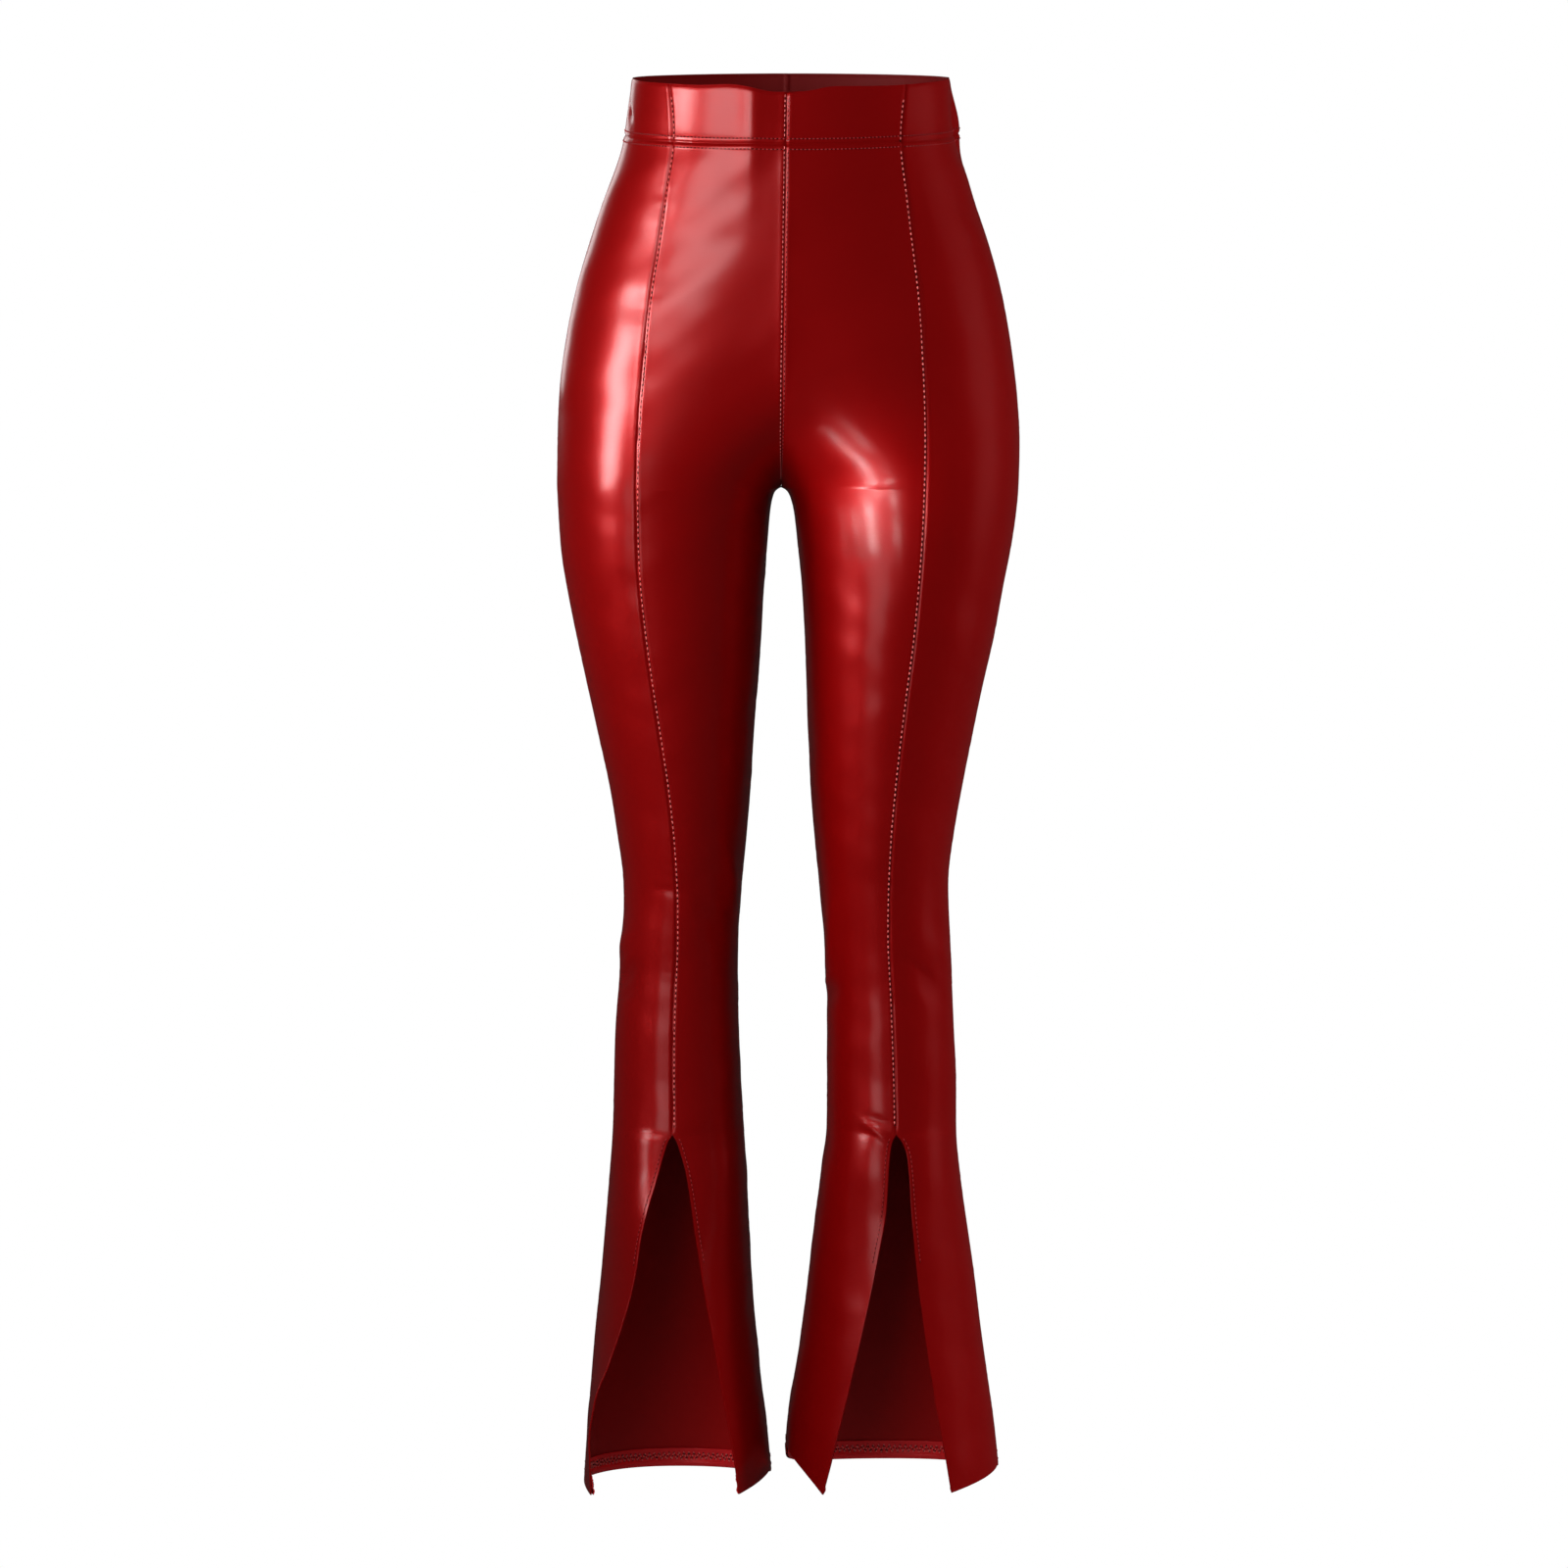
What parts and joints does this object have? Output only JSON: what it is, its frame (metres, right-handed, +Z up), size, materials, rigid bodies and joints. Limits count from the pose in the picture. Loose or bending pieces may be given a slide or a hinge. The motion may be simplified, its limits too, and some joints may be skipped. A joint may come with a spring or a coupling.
{
  "type": "faux leather bootcut trousers",
  "caption": "High-waisted bootcut trousers of glossy dark red faux leather, filled out as worn, with a slit up the front of each flare.",
  "frame": {"origin": "centre of the waistband's ring at half its height, where the wearer's waist holds the trousers", "axes": "+Z up the body, +X towards the wearer's left leg, -Y towards the front"},
  "size_m": [0.3467, 0.2358, 1.0781],
  "materials": {
    "coated_cloth": "glossy polyurethane coating with a fine horizontal grain",
    "waistband_cloth": "glossy coated cloth, doubled, with stitched seams",
    "turned_hem": "glossy coated cloth turned up inside the hem and stitched"
  },
  "bodies": {
    "root": {"front_right": "coated_cloth", "band_front_right": "waistband_cloth", "hem_front_right": "turned_hem", "front_side_right": "coated_cloth", "band_front_side_right": "waistband_cloth", "hem_front_side_right": "turned_hem", "back_right": "coated_cloth", "band_back_right": "waistband_cloth", "hem_back_right": "turned_hem", "front_left": "coated_cloth", "band_front_left": "waistband_cloth", "hem_front_left": "turned_hem", "front_side_left": "coated_cloth", "band_front_side_left": "waistband_cloth", "hem_front_side_left": "turned_hem", "back_left": "coated_cloth", "band_back_left": "waistband_cloth", "hem_back_left": "turned_hem"}
  },
  "joints": []
}
